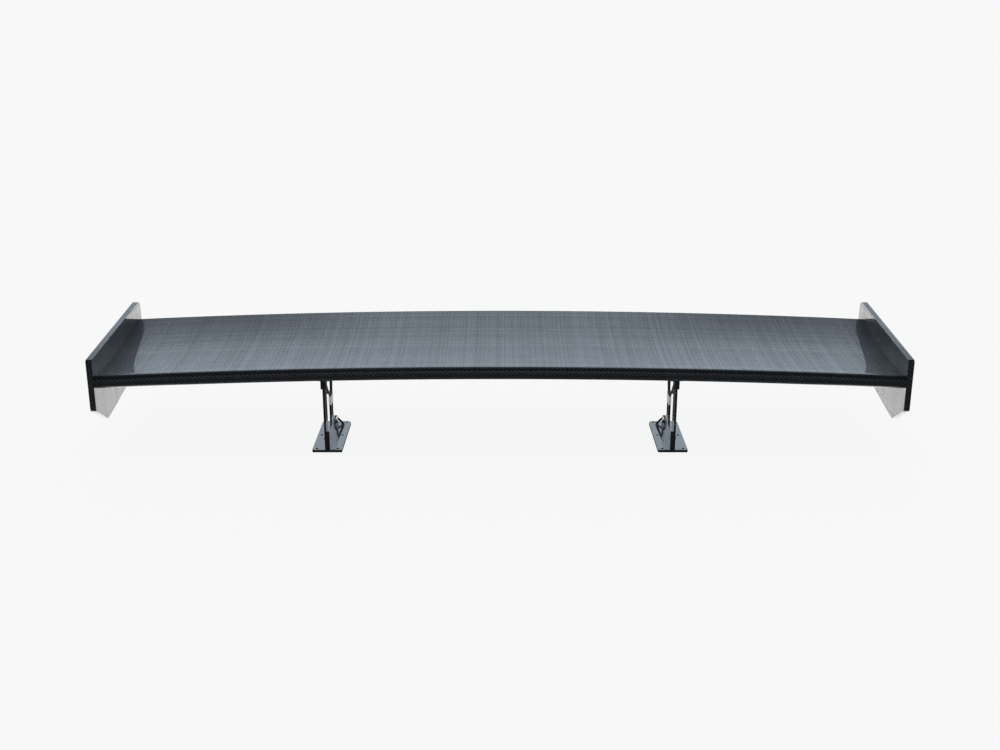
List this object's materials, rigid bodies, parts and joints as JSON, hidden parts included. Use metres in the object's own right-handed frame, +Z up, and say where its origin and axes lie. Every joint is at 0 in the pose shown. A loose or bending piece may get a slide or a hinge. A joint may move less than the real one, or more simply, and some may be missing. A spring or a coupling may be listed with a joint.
{
  "type": "racing rear wing",
  "caption": "Arched carbon aerofoil between angled end plates, on two black plate uprights with bolt-down feet and a tilt adjustment.",
  "frame": {"origin": "middle of the wing on the surface that the feet stand on, half way from the front to the rear of the end plates", "axes": "+X along the span to the right-hand end, +Y from the nose to the trailing edge, +Z up"},
  "size_m": [1.5, 0.333, 0.229],
  "materials": {
    "carbon_gloss": "carbon twill under clear gloss lacquer",
    "carbon_matt": "bare moulded carbon",
    "rib_foam": "closed-cell core block",
    "aluminium": "machined",
    "black_paint": "gloss black powder coat",
    "black_steel": "black oxide",
    "zinc_steel": "bright zinc",
    "rubber": "matt sheet rubber",
    "label": "plain pale vinyl"
  },
  "bodies": {
    "uprights": {"left_upright": "black_paint", "right_upright": "black_paint", "adjuster_bolts": "black_steel", "adjuster_nuts": "zinc_steel", "adjuster_washers": "zinc_steel", "left_foot": "black_paint", "right_foot": "black_paint", "foot_screws": "black_steel", "foot_gaskets": "rubber", "left_band": "label", "right_band": "label"},
    "blade": {"upper_skin": "carbon_gloss", "lower_skin": "carbon_gloss", "front_spar": "carbon_matt", "rear_spar": "carbon_matt", "mount_ribs": "rib_foam", "mount_inserts": "aluminium", "left_end_rib": "aluminium", "right_end_rib": "aluminium", "left_end_plate": "carbon_gloss", "right_end_plate": "carbon_gloss", "end_plate_screws": "black_steel", "left_bracket": "black_paint", "right_bracket": "black_paint", "bracket_screws": "zinc_steel", "pivot_bolts": "black_steel", "pivot_nuts": "zinc_steel", "pivot_washers": "zinc_steel"}
  },
  "joints": [
    {"name": "attack_angle", "type": "hinge", "parent": "uprights", "child": "blade", "pos_m": [0, -0.0885, 0.145], "axis": [1, 0, 0], "range_deg": [-3, 8]}
  ]
}
